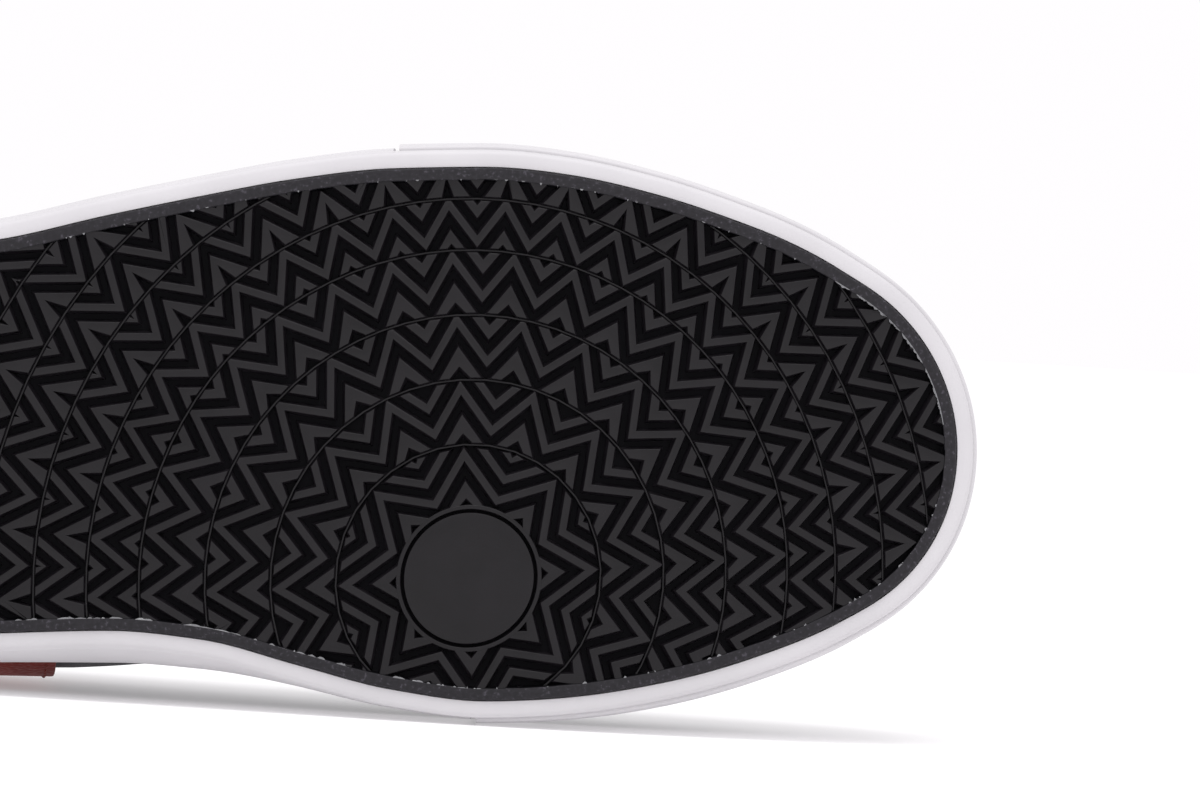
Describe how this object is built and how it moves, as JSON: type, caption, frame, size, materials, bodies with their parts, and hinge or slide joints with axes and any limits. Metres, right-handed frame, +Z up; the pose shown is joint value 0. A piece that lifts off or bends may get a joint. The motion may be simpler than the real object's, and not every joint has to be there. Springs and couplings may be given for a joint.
{
  "type": "skateboarding shoe",
  "caption": "Right low skateboarding shoe lying on its inner side: black zigzag-lugged rubber sole, white foxing and toe bumper, hollow dark suede upper.",
  "frame": {"origin": "centre of the bounding box's bottom face, on the floor under the shoe", "axes": "+X from the heel to the toe, -Y out of the tread, +Z up, from the shoe's inner side to its outer side"},
  "size_m": [0.3008, 0.0974, 0.108],
  "materials": {
    "black_rubber": "moulded black rubber, satin, slightly scuffed",
    "white_rubber": "white rubber, matt",
    "suede": "near-black suede, napped",
    "red_leather": "dark red smooth leather, satin",
    "lining": "black padded textile",
    "insole_foam": "dark foam footbed with a textile face",
    "lace_cord": "flat woven lace",
    "eyelet_metal": "black painted metal, satin"
  },
  "bodies": {
    "root": {"outsole": "black_rubber", "foxing": "white_rubber", "toe_bumper": "white_rubber", "upper": "suede", "eyestay": "suede", "heel_counter": "suede", "side_band_lateral": "red_leather", "side_band_medial": "red_leather", "tongue": "lining", "insole": "insole_foam", "lace": "lace_cord", "eyelet_lateral_1": "eyelet_metal", "eyelet_lateral_2": "eyelet_metal", "eyelet_lateral_3": "eyelet_metal", "eyelet_lateral_4": "eyelet_metal", "eyelet_lateral_5": "eyelet_metal", "eyelet_lateral_6": "eyelet_metal", "eyelet_medial_1": "eyelet_metal", "eyelet_medial_2": "eyelet_metal", "eyelet_medial_3": "eyelet_metal", "eyelet_medial_4": "eyelet_metal", "eyelet_medial_5": "eyelet_metal", "eyelet_medial_6": "eyelet_metal"}
  },
  "joints": []
}
